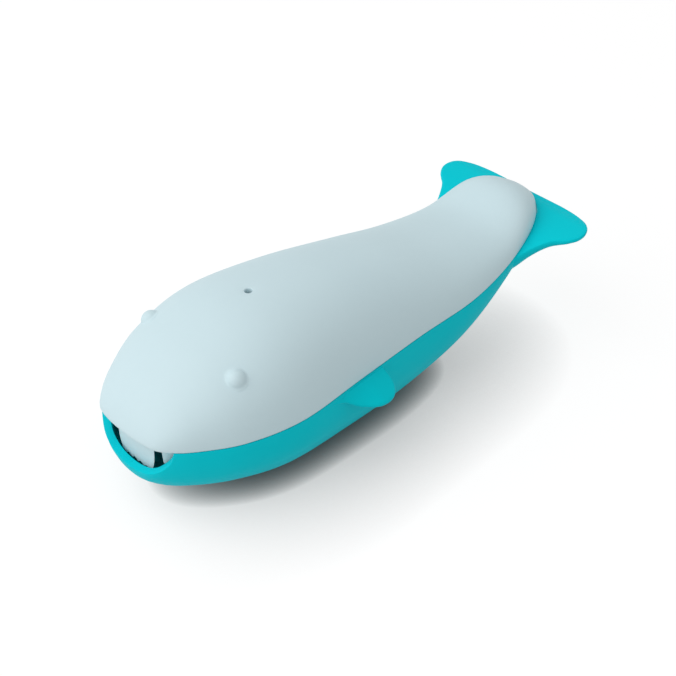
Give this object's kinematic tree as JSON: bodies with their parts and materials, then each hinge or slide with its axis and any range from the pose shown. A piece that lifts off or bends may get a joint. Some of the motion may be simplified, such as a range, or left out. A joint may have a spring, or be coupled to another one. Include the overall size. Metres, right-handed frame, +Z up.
{
  "type": "whale bath toy",
  "caption": "Whale-shaped bath toy: rounded belly shell with flippers and flukes, back shell hinged at the tail, and a toothed flap hanging in the mouth.",
  "frame": {"origin": "under the middle of the toy, on the surface it rests on", "axes": "+X from the nose to the tail, +Z up, the whale's right side towards +Y"},
  "size_m": [0.157, 0.0664, 0.0529],
  "materials": {
    "teal_plastic": "satin moulded",
    "pale_plastic": "fine matte moulded",
    "steel": "plain stainless",
    "float_foam": "closed-cell foam"
  },
  "bodies": {
    "belly": {"belly_shell": "teal_plastic", "keel_weight": "steel", "keel_cover": "teal_plastic", "keel_screw_front": "steel", "keel_screw_rear": "steel"},
    "back": {"back_shell": "pale_plastic", "hinge_pin": "steel", "flap_pin": "steel", "float_block": "float_foam", "float_strap": "pale_plastic", "float_screw_front": "steel", "float_screw_rear": "steel"},
    "flap": {"mouth_flap": "pale_plastic"}
  },
  "joints": [
    {"name": "back_opens", "type": "hinge", "parent": "belly", "child": "back", "pos_m": [0.0715, 0, 0.0404], "axis": [0, 1, 0], "range_deg": [0, 70]},
    {"name": "flap_swings", "type": "hinge", "parent": "back", "child": "flap", "pos_m": [-0.071, 0, 0.03], "axis": [0, -1, 0], "range_deg": [0, 20]}
  ]
}
